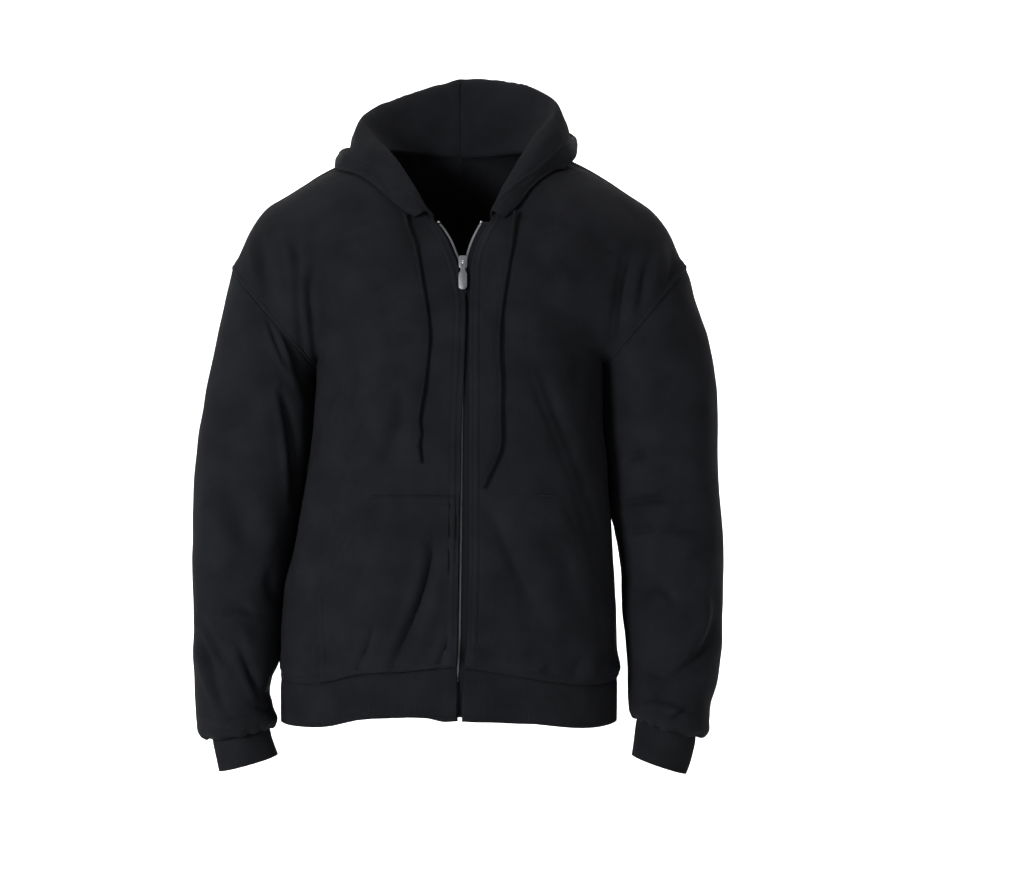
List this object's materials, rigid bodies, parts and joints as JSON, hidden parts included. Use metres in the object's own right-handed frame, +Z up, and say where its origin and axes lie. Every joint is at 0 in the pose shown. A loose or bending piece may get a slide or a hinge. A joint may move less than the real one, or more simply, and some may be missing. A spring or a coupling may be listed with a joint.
{
  "type": "zip-up hooded sweatshirt",
  "caption": "Worn-open-form zip-up hooded top: fleece fronts, back, sleeves and lowered hood, rib cuffs and hem, patch pocket halves, metal zip and loose drawstring ends.",
  "frame": {"origin": "on the centre line at shoulder level, between the front and the back, where the wearer's shoulders hold the garment", "axes": "+X towards the wearer's left side, -Y towards the zip front, +Z up towards the hood"},
  "size_m": [0.6611, 0.3263, 0.8754],
  "materials": {
    "fleece": "matt brushed-back fleece knit, near black with a slight blue cast",
    "rib": "matt fine rib knit, black",
    "tape": "woven polyester tape, navy black",
    "zip_metal": "satin silver metal",
    "cord": "braided cotton cord, black"
  },
  "bodies": {
    "garment": {"front_left": "fleece", "front_right": "fleece", "back": "fleece", "sleeve_left": "fleece", "sleeve_right": "fleece", "hood_left": "fleece", "hood_right": "fleece", "pocket_left": "fleece", "pocket_right": "fleece", "cuff_left": "rib", "cuff_right": "rib", "hem_band": "rib", "zip_tape_left": "tape", "zip_tape_right": "tape", "zip_teeth_left": "zip_metal", "zip_teeth_right": "zip_metal", "zip_stop_left": "zip_metal", "zip_stop_right": "zip_metal", "zip_box": "zip_metal", "slider": "zip_metal", "drawstring_left": "cord", "drawstring_right": "cord"},
    "pull_tab": {"pull_tab": "zip_metal"}
  },
  "joints": [
    {"name": "pull_tab_swing", "type": "hinge", "parent": "garment", "child": "pull_tab", "pos_m": [0.007, -0.11602, -0.11807], "axis": [-1, 0, 0], "range_deg": [0, 140]}
  ]
}
